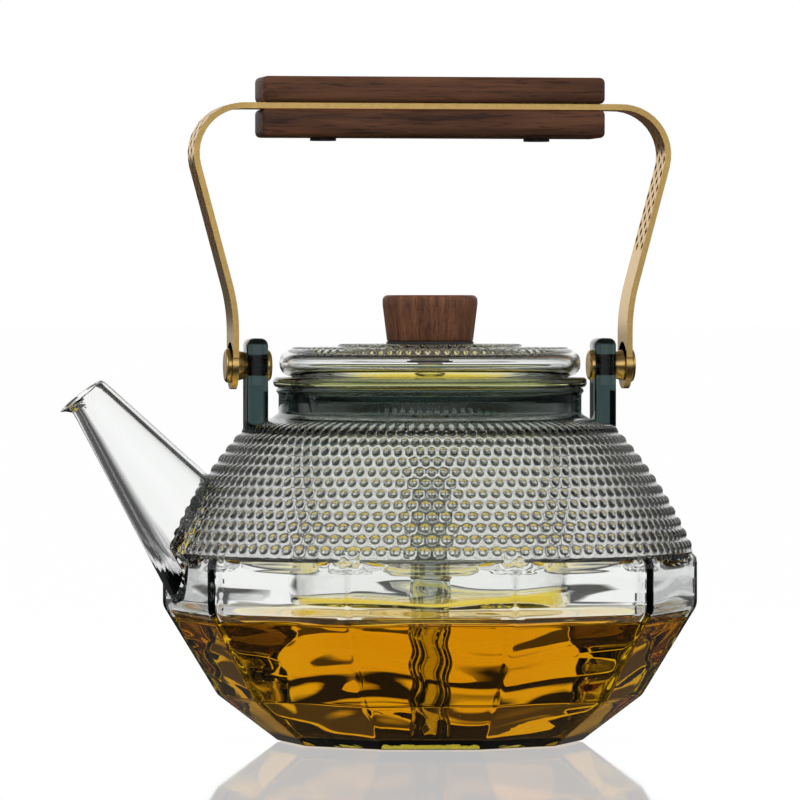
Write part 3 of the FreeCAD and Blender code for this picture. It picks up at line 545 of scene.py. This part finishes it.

# Ears: solid tabs of the smoky glass, welded on beside the neck, with a hole for the pivot.
# They are thick, and their glass is set far darker than the pot's: partly the deeper colour of thick glass,
# partly painted shade for the dark reflections in them.
ear_glass = glass("ear_glass", (0.55, 0.65, 0.635), 270.0, (0.24, 0.35, 0.345))
ear_inside = 0.0505
ear_outside = 0.0570
ear_half_width = 0.0065
ear_low = 0.0932
ear_high = 0.1228
ear_rounding = 0.0022
ear_hole = 0.0032
hole_start = 0.04
hole_end = 0.07
pivot_height = 0.1145


def bar(name, low, high, radius, steps=4):
    """A box with rounded edges."""
    shape = bmesh.new()
    bmesh.ops.create_cube(shape, size=1)
    low = np.array(low)
    high = np.array(high)
    for point in shape.verts:
        point.co = (low + high) / 2 + (high - low) * np.array(point.co)
    bmesh.ops.bevel(shape, geom=shape.edges[:], offset=radius, segments=steps, affect="EDGES", profile=0.5)
    mesh = bpy.data.meshes.new(name)
    shape.to_mesh(mesh)
    shape.free()
    return placed(name, mesh)


def lathe(name, corners, centre=(0, 0, 0), axis="Z", segments=96, loop=True, steps=5):
    """A turned piece from (radius, along, rounding) corners about an axis through the centre."""
    outline = softened(corners + corners[:1] if loop else corners, steps)
    if loop:
        outline = outline[:-1]
    angles = full_turn(segments)
    rows = []
    for away, along in outline:
        first = away * np.cos(angles)
        second = away * np.sin(angles)
        third = np.full(segments, along)
        order = (first, second, third) if axis == "Z" else (third, first, second)
        rows.append(np.stack(order, axis=1) + np.array(centre))
    return settle(closed_mesh(name, rows, loop))


for side, sign in (("left", -1), ("right", 1)):
    inner, outer = sorted((sign * ear_inside, sign * ear_outside))
    ear = bar(
        f"{side}_ear_glass",
        (inner, -ear_half_width, ear_low),
        (outer, ear_half_width, ear_high),
        ear_rounding,
    )
    hole = lathe("ear_tool", [
        (0, hole_start, 0), (ear_hole, hole_start, 0), (ear_hole, hole_end, 0), (0, hole_end, 0),
    ], loop=False)
    hole.data.transform(Matrix.Rotation(sign * math.pi / 2, 4, "Y"))
    hole.data.transform(Matrix.Translation((0, 0, pivot_height)))
    carve(ear, hole)
    settle(ear, 30)
    coat(ear, ear_glass)
    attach(ear, "pot")
    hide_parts(f"{side}_ear")

# Pivot hardware: satin brass barrel nut, spacer and screw, and a dark silicone sleeve in the ear.
# These small turned pieces are the CAD nodes themselves, with finishes of their own.


def finish(name, colour, metallic, roughness, grain, scale=400.0, bump=0.0):
    """An even finish with a fine mottle in its colour and, if asked for, in its surface."""
    material, tree, shader = shaded(name)
    place = add(tree, "ShaderNodeTexCoord").outputs["Object"]
    speckle = add(tree, "ShaderNodeTexNoise", {"Vector": place, "Scale": scale, "Detail": 4}).outputs["Fac"]
    darker = np.array(colour) * (1 - grain)
    lighter = np.minimum(np.array(colour) * (1 + grain), 1)
    connect(shader, {
        "Metallic": metallic,
        "Roughness": roughness,
        "Base Color": ramp(tree, speckle, (0.3, darker), (0.7, lighter)),
    })
    if bump:
        relief = add(tree, "ShaderNodeBump", {"Strength": bump, "Distance": 0.0002, "Height": speckle})
        connect(shader, {"Normal": relief.outputs["Normal"]})
    return material


brass = finish("brass", (0.86, 0.57, 0.20), 1.0, 0.26, grain=0.08, scale=900.0, bump=0.05)
silicone = finish("silicone", (0.035, 0.035, 0.035), 0.0, 0.6, grain=0.1)


def dress(node, material):
    """Gives a CAD node its finish."""
    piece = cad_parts[node]
    coat(piece, material)


for side in ("left", "right"):
    dress(f"{side}_ear_sleeve", silicone)
    for kind in ("barrel_nut", "pivot_spacer", "pivot_screw"):
        dress(f"{side}_{kind}", brass)

# Infuser cup: a straight cup of clear glass that hangs in the neck by its yellow-green flange.
# Slots sawn through its floor let the tea out, and the steam tube stands in the hole in the middle.
cup_radius = 0.0422
cup_bore = 0.0399
cup_low = 0.0414
cup_floor = 0.0438
flange_radius = 0.0478
flange_low = 0.1078
flange_high = 0.1110
tube_hole = 0.00615
infuser_glass = glass("infuser_glass", (0.985, 0.99, 0.98), 5.0, (0.60, 0.66, 0.52))
tint_and_shade_by_height(infuser_glass, 0.1066, 0.1080, lower=(0.985, 0.99, 0.98), upper=(0.76, 0.79, 0.45))
cup = lathe("infuser_cup_glass", [
    (tube_hole, cup_low, 0.0005), (cup_radius, cup_low, 0.0040), (cup_radius, flange_low, 0.0008),
    (flange_radius, flange_low, 0.0013), (flange_radius, flange_high, 0.0013),
    (cup_bore, flange_high, 0.0008), (cup_bore, cup_floor, 0.0030), (tube_hole, cup_floor, 0.0005),
], segments=180)
slot_count = 12
slot_away = 0.021
slot_length = 0.014
slot_width = 0.0014
slot_depth = 0.006
slot_height = 0.0426
shape = bmesh.new()
for turn in range(slot_count):
    made = bmesh.ops.create_cube(shape, size=1)
    angle = 2 * math.pi * turn / slot_count
    for point in made["verts"]:
        away = slot_away + slot_length * point.co.x
        aside = slot_width * point.co.y
        point.co = (
            away * math.cos(angle) - aside * math.sin(angle),
            away * math.sin(angle) + aside * math.cos(angle),
            slot_height + slot_depth * point.co.z,
        )
slot_mesh = bpy.data.meshes.new("slot_tool")
shape.to_mesh(slot_mesh)
shape.free()
carve(cup, placed("slot_tool", slot_mesh))
settle(cup)
coat(cup, infuser_glass)
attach(cup, "infuser")
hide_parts("infuser_cup")

# Steam tube: a drawn glass tube that stands through the infuser's floor and down into the tea.
# Its flared collar lies just above the floor.
tube_bore = 0.0047
tube_radius = 0.0061
tube_low = 0.0090
tube_high = 0.0840
collar_radius = 0.0086
collar_high = 0.0536
tube = lathe("steam_tube_glass", [
    (tube_bore, tube_low, 0.0006), (tube_radius, tube_low, 0.0006), (tube_radius, 0.0494, 0.0012),
    (collar_radius, 0.0520, 0.0006), (collar_radius, collar_high, 0.0006), (tube_radius, collar_high, 0.0006),
    (tube_radius, tube_high, 0.0006), (tube_bore, tube_high, 0.0006),
])
tube_glass = glass("tube_glass", (0.78, 0.81, 0.80), 40.0, (0.40, 0.45, 0.44), wet_ior=from_tea)
coat(tube, tube_glass)
wet_faces(tube, lambda centre, normal: centre.z < tea_level)
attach(tube, "infuser")
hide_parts("steam_tube")

# Tea: what the pot holds in the photo, a shallow amber fill with a raised edge at the glass.
# It reaches a little into the wall, so that no air shows between tea and glass. The edge's rings are
# each given by their rise over the tea and their distance from the wall.
into_wall = 0.0020
floor_skin = 0.005
tea_turns = full_turn(360)
wall_heights = [height for _, height in inner_low[:-1]]
tea_edge = np.interp(tea_level, wall_heights, [away for away, _ in inner_low[:-1]])
raised_edge = (
    (0.0021, into_wall), (0.0018, -0.0002), (0.0011, -0.0009),
    (0.0005, -0.0019), (0.0001, -0.0034), (0, -0.0050),
)
tea_rings = []
for away, height in finer(inner_low, inner_step):
    if height < tea_level:
        sink = into_wall if height < floor_skin else 0
        tea_rings.append(rippled(tea_turns, away, height - sink, outwards=into_wall if away else 0))
tea_rings += [ring(tea_turns, tea_level + rise, corner=tea_edge + aside) for rise, aside in raised_edge]
tea_rings += [ring(tea_turns, tea_level, corner=0.020), ring(tea_turns, tea_level)]
tea = closed_mesh("tea", tea_rings)
settle(tea, 60)
tea_liquid = glass("tea_liquid", (1.0, 1.0, 1.0), 70.0, (0.965, 0.865, 0.12), ior=1.33, wet_ior=1.0)
coat(tea, tea_liquid)
wet_faces(tea, lambda centre, normal: normal.z < 0.3 or math.hypot(centre.x, centre.y) > tea_edge)
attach(tea, "pot")

# Lid: a blown shell with a rolled edge, a raised disc in the middle and rows of fine dots on its face.
# Its skirt drops into the infuser, and the knob's screw goes through its hole.
lid_hole = 0.0027
lid_under = 0.1133
lid_inside = 0.1173
skirt_bore = 0.0370
skirt_radius = 0.0393
skirt_low = 0.1030
lid_low = 0.1110
lid_radius = 0.0459
lid_top = 0.1196
face_edge = 0.0420
underside = softened([
    (lid_hole, 0.1183, 0), (0.0257, 0.1183, 0.0008), (0.0268, lid_inside, 0.0008),
    (0.0436, lid_inside, 0.0018), (0.0436, lid_under, 0.0018),
    (skirt_bore, lid_under, 0.0008), (skirt_bore, skirt_low, 0.0007),
    (skirt_radius, skirt_low, 0.0007), (skirt_radius, lid_low, 0.0006), (lid_radius, lid_low, 0.0038),
    (lid_radius, lid_top, 0.0038), (face_edge, lid_top, 0),
], steps=5)
disc_radius = 0.0290
disc_rise = 0.0010
disc_slope = 0.0010
disc_edge = 0.0287
disc_edge_width = 0.0009
plain_middle = 0.0150
lid_dots = 84
lid_row_pitch = 0.0024
lid_row_shift = 0.25
face_rings = np.linspace(face_edge, lid_hole, 84)
face = [
    (away, lid_top + disc_rise * float(np.clip((disc_radius - away) / disc_slope, 0, 1)))
    for away in face_rings
]
lid_outline = underside[:-1] + face
lid_turns = full_turn(lid_dots * points_per_dot)
lid_rings = [ring(lid_turns, height, circle=away) for away, height in lid_outline]
lid = closed_mesh("lid_glass", lid_rings, loop=True)
first_face = len(underside) - 1
lid_rows = np.zeros(len(lid_outline))
lid_rows[first_face:] = (face_edge - face_rings) / lid_row_pitch + lid_row_shift
lid_mask = np.zeros(len(lid_outline))
lid_mask[first_face:] = (face_rings > plain_middle) * (abs(face_rings - disc_edge) > disc_edge_width)
mark(
    lid,
    dot_u=np.tile(lid_turns / (2 * math.pi) * lid_dots, len(lid_outline)),
    dot_v=np.repeat(lid_rows, len(lid_turns)),
    dot_mask=np.repeat(lid_mask, len(lid_turns)),
)
lid_clear = glass("lid_glass", (0.98, 0.985, 0.98), 10.0, (0.40, 0.50, 0.47))
settle(lid)
run_tree(lid, hobnails, material=lid_clear, dot_height=0.00045, dot_radius=0.46)
plain(lid)
settle(lid)
coat(lid, lid_clear)
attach(lid, "lid")
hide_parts("lid")

# Knob: turned walnut with the grain upright, on a thin dark gasket. The steel screw, the washers and
# the brass insert that hold it through the lid are CAD nodes.


def walnut(name, stretch, dark, light, scale=1.0):
    """Oiled walnut with long streaks and short dark pores along the grain."""
    material, tree, shader = shaded(name)
    place = add(tree, "ShaderNodeTexCoord").outputs["Object"]

    def streaks(size, detail, pull):
        """Noise drawn out along the grain."""
        along = [pull if axis else 1.0 for axis in stretch]
        squeeze = add(tree, "ShaderNodeMapping", {"Vector": place, "Scale": along})
        noise = add(tree, "ShaderNodeTexNoise", {
            "Vector": squeeze.outputs["Vector"],
            "Scale": size * scale,
            "Detail": detail,
            "Roughness": 0.62,
            "Distortion": 0.4,
        })
        return noise.outputs["Fac"]

    bands = ramp(tree, streaks(260.0, 8, 0.05), (0.30, dark), (0.72, light))
    pores = streaks(1500.0, 3, 0.06)
    spots = ramp(tree, pores, (0.36, (0.35, 0.32, 0.30)), (0.46, (1, 1, 1)))
    mix = add(tree, "ShaderNodeMix", {0: 0.8, 6: bands, 7: spots}, data_type="RGBA", blend_type="MULTIPLY")
    relief = add(tree, "ShaderNodeBump", {"Strength": 0.25, "Distance": 0.0002, "Height": pores})
    connect(shader, {
        "Base Color": mix.outputs[2],
        "Roughness": 0.5,
        "Specular IOR Level": 0.35,
        "Normal": relief.outputs["Normal"],
    })
    return material


knob_foot = 0.1218
knob_top = 0.1359
knob_radius = 0.0145
knob_bore = 0.0036
bore_top = 0.1300
knob_walnut = walnut("knob_walnut", (0, 0, 1), (0.066, 0.024, 0.012), (0.250, 0.102, 0.050), scale=1.7)
steel = finish("steel", (0.55, 0.55, 0.55), 1.0, 0.3, grain=0.05, scale=900.0)
knob = lathe("knob_turning", [
    (knob_bore, knob_foot, 0), (0.0131, knob_foot, 0.0006), (knob_radius, 0.1331, 0.004),
    (knob_radius, knob_top, 0.0016), (0.0, knob_top, 0), (0.0, bore_top, 0), (knob_bore, bore_top, 0),
], segments=128)
coat(knob, knob_walnut)
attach(knob, "lid")
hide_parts("lid_knob")
dress("knob_gasket", silicone)
dress("lid_seal", silicone)
dress("knob_insert", brass)
dress("lid_washer", steel)
dress("knob_screw", steel)

# Bail strap: one satin brass strip bent over the pot, pierced with rows of small diamonds on the upper
# legs and bends. Cells with or without a diamond are set along the strip and bent to its path. A round
# eye at each end turns on the pivot.
strap_width = 0.0144
strap_thick = 0.0018
strap_foot = 0.0607
foot_rise = 0.0024
knee_height = 0.1320
knee_radius = 0.055
leg_lean = math.radians(15)
bend_radius = 0.0145
strap_top = 0.1933


def strap_path():
    """The strap's middle line from the left pivot over the top to the right one."""
    knee_start = np.array((strap_foot, knee_height - knee_radius * math.tan(leg_lean / 2)))
    knee_centre = knee_start + (knee_radius, 0)
    points = [np.array((strap_foot, pivot_height + foot_rise)), knee_start]
    for angle in np.linspace(0, leg_lean, 9)[1:]:
        points.append(knee_centre + knee_radius * np.array((-math.cos(angle), math.sin(angle))))
    upward = np.array((math.sin(leg_lean), math.cos(leg_lean)))
    inward = np.array((-upward[1], upward[0]))
    length = (strap_top - bend_radius - points[-1][1] - inward[1] * bend_radius) / upward[1]
    bend_start = points[-1] + upward * length
    bend_centre = bend_start + inward * bend_radius
    first = math.atan2(*(bend_start - bend_centre)[::-1])
    for angle in np.linspace(first, math.pi / 2, 25):
        points.append(bend_centre + bend_radius * np.array((math.cos(angle), math.sin(angle))))
    right = np.array(points)
    left = right * (-1, 1)
    return np.concatenate([left, right[::-1]])


def cell(name, hole=0):
    """One cell of the strip, one unit long and wide, with a diamond hole of that half size if any."""
    half = 0.5
    corners = [
        (-half, -half), (0, -half), (half, -half), (half, 0),
        (half, half), (0, half), (-half, half), (-half, 0),
    ]
    faces = [(0, 1, 5, 6, 7), (1, 2, 3, 4, 5)]
    if hole:
        corners += [(0, -hole), (hole, 0), (0, hole), (-hole, 0)]
        faces = [(0, 1, 8, 11, 7), (1, 2, 3, 9, 8), (3, 4, 5, 10, 9), (5, 6, 7, 11, 10)]
    return meshed(name, [(x, y, 0) for x, y in corners], [], faces)


def strap_tree():
    """Sets pierced and plain cells on the points of a strip and bends the strip to a path."""
    tree, given, result = empty_tree("strap_cells", {
        "Geometry": "Geometry",
        "Pierced Cell": "Object",
        "Plain Cell": "Object",
        "Path": "Object",
        "Cell Length": "Float",
        "Cell Width": "Float",
        "Material": "Material",
    })
    pierced = named(tree, "pierced", "BOOLEAN")
    unpierced = add(tree, "FunctionNodeBooleanMath", {0: pierced}, operation="NOT").outputs[0]
    length = maths(tree)("MULTIPLY", named(tree, "share"), given["Cell Length"])
    size = add(tree, "ShaderNodeCombineXYZ", {"X": length, "Y": given["Cell Width"], "Z": 1})
    join = add(tree, "GeometryNodeJoinGeometry")
    for label, chosen in (("Pierced Cell", pierced), ("Plain Cell", unpierced)):
        source = add(tree, "GeometryNodeObjectInfo", {"Object": given[label]})
        copies = add(tree, "GeometryNodeInstanceOnPoints", {
            "Points": given["Geometry"],
            "Selection": chosen,
            "Instance": source.outputs["Geometry"],
            "Scale": size.outputs["Vector"],
        })
        connect(join, {"Geometry": copies.outputs["Instances"]})
    real = add(tree, "GeometryNodeRealizeInstances", {"Geometry": join.outputs[0]}).outputs[0]
    weld = add(tree, "GeometryNodeMergeByDistance", {"Geometry": real, "Distance": 0.00002}).outputs[0]
    place = add(tree, "GeometryNodeInputPosition").outputs["Position"]
    parts = add(tree, "ShaderNodeSeparateXYZ", {"Vector": place}).outputs
    path = add(tree, "GeometryNodeObjectInfo", {"Object": given["Path"]})
    line = add(tree, "GeometryNodeMeshToCurve", {"Mesh": path.outputs["Geometry"]}).outputs["Curve"]
    sample = add(
        tree, "GeometryNodeSampleCurve", {"Curves": line, "Length": parts["X"]},
        mode="LENGTH", use_all_curves=True,
    ).outputs["Position"]
    aside = add(tree, "ShaderNodeCombineXYZ", {"Y": parts["Y"]}).outputs["Vector"]
    total = add(tree, "ShaderNodeVectorMath", {0: sample, 1: aside}, operation="ADD").outputs["Vector"]
    bend = add(tree, "GeometryNodeSetPosition", {"Geometry": weld, "Position": total}).outputs["Geometry"]
    dressed = add(tree, "GeometryNodeSetMaterial", {"Geometry": bend, "Material": given["Material"]})
    connect(result, {"Geometry": dressed.outputs["Geometry"]})
    return tree


route = strap_path()
route_edges = [(step, step + 1) for step in range(len(route) - 1)]
route_line = meshed("strap_route", [(x, 0, z) for x, z in route], route_edges, [])
route_length = np.linalg.norm(np.diff(route, axis=0), axis=1).sum()
columns = 4
cell_count = round(route_length / 0.0046)
cell_length = route_length / cell_count
cell_width = strap_width / columns
pierced_from = 0.0330
pierced_to = 0.1240
spots = []
pierced = []
shares = []
for column in range(columns):
    aside = (column + 0.5) * cell_width - strap_width / 2
    odd = column % 2
    places = [(number + 0.5 + 0.5 * odd, 1.0) for number in range(cell_count - odd)]
    places += [(0.25, 0.5), (cell_count - 0.25, 0.5)] if odd else []
    for place, share in places:
        along = place * cell_length
        near_end = min(along, route_length - along)
        spots.append((along, aside, 0))
        pierced.append(share == 1.0 and pierced_from < near_end < pierced_to)
        shares.append(share)
strap = meshed("strap_strip", spots, [], [])
strap.data.attributes.new("pierced", "BOOLEAN", "POINT").data.foreach_set("value", pierced)
strap.data.attributes.new("share", "FLOAT", "POINT").data.foreach_set("value", shares)
pierced_cell = cell("pierced_cell", hole=0.36)
plain_cell = cell("plain_cell")
run_tree(
    strap, strap_tree(), pierced_cell=pierced_cell, plain_cell=plain_cell, path=route_line,
    cell_length=float(cell_length), cell_width=cell_width, material=brass,
)
thick = strap.modifiers.new("thickness", "SOLIDIFY")
thick.thickness = strap_thick
thick.offset = 0
plain(strap)
for tool in (pierced_cell, plain_cell, route_line):
    bpy.data.objects.remove(tool)
settle(strap, 30)
eye_bore = 0.00236
eye_radius = 0.0072
for side, sign in (("left", -1), ("right", 1)):
    low, high = sorted((sign * (strap_foot - strap_thick / 2), sign * (strap_foot + strap_thick / 2)))
    eye = lathe(f"{side}_strap_eye", [
        (eye_bore, low, 0), (eye_radius, low, 0), (eye_radius, high, 0), (eye_bore, high, 0),
    ], centre=(0, 0, pivot_height), axis="X", segments=64)
    coat(eye, brass)
    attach(eye, "handle")
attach(strap, "handle")
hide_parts("handle_strap")

# Grip: two walnut bars with the grain along them, clamped on the strap from above and below.
# Two blackened screws go up through the lower bar into brass inserts in the upper one; these are
# CAD nodes.
grip_half_length = 0.05275
grip_half_width = 0.0095
grip_rounding = 0.0016
grip_walnut = walnut("grip_walnut", (1, 0, 0), (0.036, 0.012, 0.005), (0.155, 0.060, 0.026))
dark_steel = finish("dark_steel", (0.05, 0.045, 0.04), 0.8, 0.4, grain=0.1)
for name, low, high in (("grip_upper", 0.1942, 0.2022), ("grip_lower", 0.1838, 0.1924)):
    half = bar(
        f"{name}_bar",
        (-grip_half_length, -grip_half_width, low),
        (grip_half_length, grip_half_width, high),
        grip_rounding,
    )
    settle(half, 30)
    coat(half, grip_walnut)
    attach(half, "handle")
    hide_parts(name)
dress("grip_screws", dark_steel)
dress("grip_inserts", brass)

# Stage: a white glossy floor that keeps the shadow and mirrors the pot, in a white room with dark
# strips on its diagonals, which draw the dark lines in the glass. The floor's own light is dark in a
# ring around the pot, as seen through the glass, and dim in its reflections.
white = (1, 1, 1)
dark_grey = (0.08, 0.08, 0.08)
floor_reach = 60
floor_gap = 0.0002
floor_corners = [(x * floor_reach, y * floor_reach, 0) for x, y in ((-1, -1), (1, -1), (1, 1), (-1, 1))]
floor = meshed("floor", floor_corners, [], [(0, 1, 2, 3)])
floor.location.z = -floor_gap
floor_white, floor_tree, _ = shaded("floor_white")
floor_tree.nodes.clear()
floor_sum = maths(floor_tree)
place = add(floor_tree, "ShaderNodeTexCoord").outputs["Object"]
away = add(floor_tree, "ShaderNodeVectorMath", {0: place}, operation="LENGTH").outputs["Value"]
lit = ramp(floor_tree, away, (0.08, white), (0.20, dark_grey), (0.55, dark_grey), (0.95, white))
ray = add(floor_tree, "ShaderNodeLightPath").outputs
mirrored = floor_sum("SUBTRACT", ray["Is Glossy Ray"], ray["Is Transmission Ray"])
dim = add(floor_tree, "ShaderNodeMapRange", {
    "Value": mirrored, "To Min": 1.0, "To Max": 0.06,
}).outputs["Result"]
strength = floor_sum("MULTIPLY", floor_sum("MAXIMUM", lit, ray["Is Camera Ray"]), dim)
glow = add(floor_tree, "ShaderNodeEmission", {"Color": (*white, 1), "Strength": strength}).outputs[0]
matt = add(floor_tree, "ShaderNodeBsdfDiffuse", {"Color": (0.95, 0.95, 0.95, 1)}).outputs[0]
base = add(floor_tree, "ShaderNodeMixShader", {0: 0.98, 1: matt, 2: glow}).outputs[0]
mirror = add(floor_tree, "ShaderNodeBsdfGlossy", {"Roughness": 0.04, "Color": (*white, 1)}).outputs[0]
gloss = add(floor_tree, "ShaderNodeMapRange", {
    "Value": away, "From Min": 0.25, "From Max": 0.90, "To Min": 0.55, "To Max": 0.0,
}).outputs["Result"]
slant = add(floor_tree, "ShaderNodeLayerWeight", {"Blend": 0.5}).outputs["Facing"]
polish = floor_sum("MULTIPLY", floor_sum("MULTIPLY", gloss, slant), ray["Is Camera Ray"])
polished = add(floor_tree, "ShaderNodeMixShader", {0: polish, 1: base, 2: mirror}).outputs[0]
add(floor_tree, "ShaderNodeOutputMaterial", {"Surface": polished})
coat(floor, floor_white)
floor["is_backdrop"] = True

camera_turn = math.radians(-9.5)
strip_start = 0.26
strip_steepness = 0.30
studio = bpy.data.worlds.new("studio")
bpy.context.scene.world = studio
studio.use_nodes = True
studio_tree = studio.node_tree
studio_tree.nodes.clear()
studio_sum = maths(studio_tree)
direction = add(studio_tree, "ShaderNodeTexCoord").outputs["Generated"]
turned = add(
    studio_tree, "ShaderNodeMapping", {"Vector": direction, "Rotation": (0, 0, -camera_turn)},
    vector_type="POINT",
).outputs["Vector"]
axes = add(studio_tree, "ShaderNodeSeparateXYZ", {"Vector": turned}).outputs
squares = [studio_sum("MULTIPLY", axes[label], axes[label]) for label in ("X", "Y")]
cross = studio_sum("ABSOLUTE", studio_sum("MULTIPLY", axes["X"], axes["Y"]))
diagonal = studio_sum("DIVIDE", cross, studio_sum("MAXIMUM", studio_sum("ADD", *squares), 0.0001))
steep = studio_sum("SUBTRACT", studio_sum("ABSOLUTE", axes["Z"]), strip_steepness)
band = studio_sum("MAXIMUM", diagonal, studio_sum("ADD", steep, strip_start))
strips = ramp(studio_tree, band, (strip_start, white), (0.33, (0.02, 0.022, 0.022)))
gleams = ramp(studio_tree, band, (0.34, white), (0.48, (0.12, 0.12, 0.12)))
seen = {
    "Is Glossy Ray": {"Color": gleams},
    "Is Transmission Ray": {"Color": strips},
    "Is Camera Ray": {"Color": (*white, 1)},
}
sky = add(studio_tree, "ShaderNodeBackground", {"Color": (*white, 1), "Strength": 0.70}).outputs[0]
ray = add(studio_tree, "ShaderNodeLightPath").outputs
for kind, colour in seen.items():
    view = add(studio_tree, "ShaderNodeBackground", colour).outputs[0]
    sky = add(studio_tree, "ShaderNodeMixShader", {0: ray[kind], 1: sky, 2: view}).outputs[0]
add(studio_tree, "ShaderNodeOutputWorld", {"Surface": sky})


def facing(start, target):
    """The turn of a lamp or camera at the start that looks at the target."""
    return Vector(np.array(target) - np.array(start)).to_track_quat("-Z", "Y").to_euler()


for name, place, size, power in (
    ("key", (-0.55, -0.75, 0.95), 0.7, 5.0),
    ("fill", (0.80, -0.60, 0.60), 0.6, 2.5),
):
    lamp = bpy.data.lights.new(name, "AREA")
    lamp.size = size
    lamp.energy = power
    light = placed(name, lamp)
    light.location = place
    light.rotation_euler = facing(place, (0, 0, 0.10))
    light.visible_glossy = False
    light.visible_transmission = False

camera_data = bpy.data.cameras.new("camera")
camera_data.lens = 295.0
camera_data.sensor_width = 36.0
camera = placed("camera", camera_data)
aim_right = -0.00915
aim_height = 0.1039
eye_height = 0.131
distance = 2.0
right = np.array((math.cos(camera_turn), math.sin(camera_turn), 0))
backward = np.array((math.sin(camera_turn), -math.cos(camera_turn), 0))
target = right * aim_right + np.array((0, 0, aim_height))
stand = right * aim_right + backward * distance + np.array((0, 0, eye_height))
camera.location = stand
camera.rotation_euler = facing(stand, target)
bpy.context.scene.camera = camera
bpy.context.scene.view_settings.view_transform = "Standard"
cycles = bpy.context.scene.cycles
cycles.max_bounces = 32
cycles.transmission_bounces = 32
cycles.glossy_bounces = 8
cycles.transparent_max_bounces = 16

low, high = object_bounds()
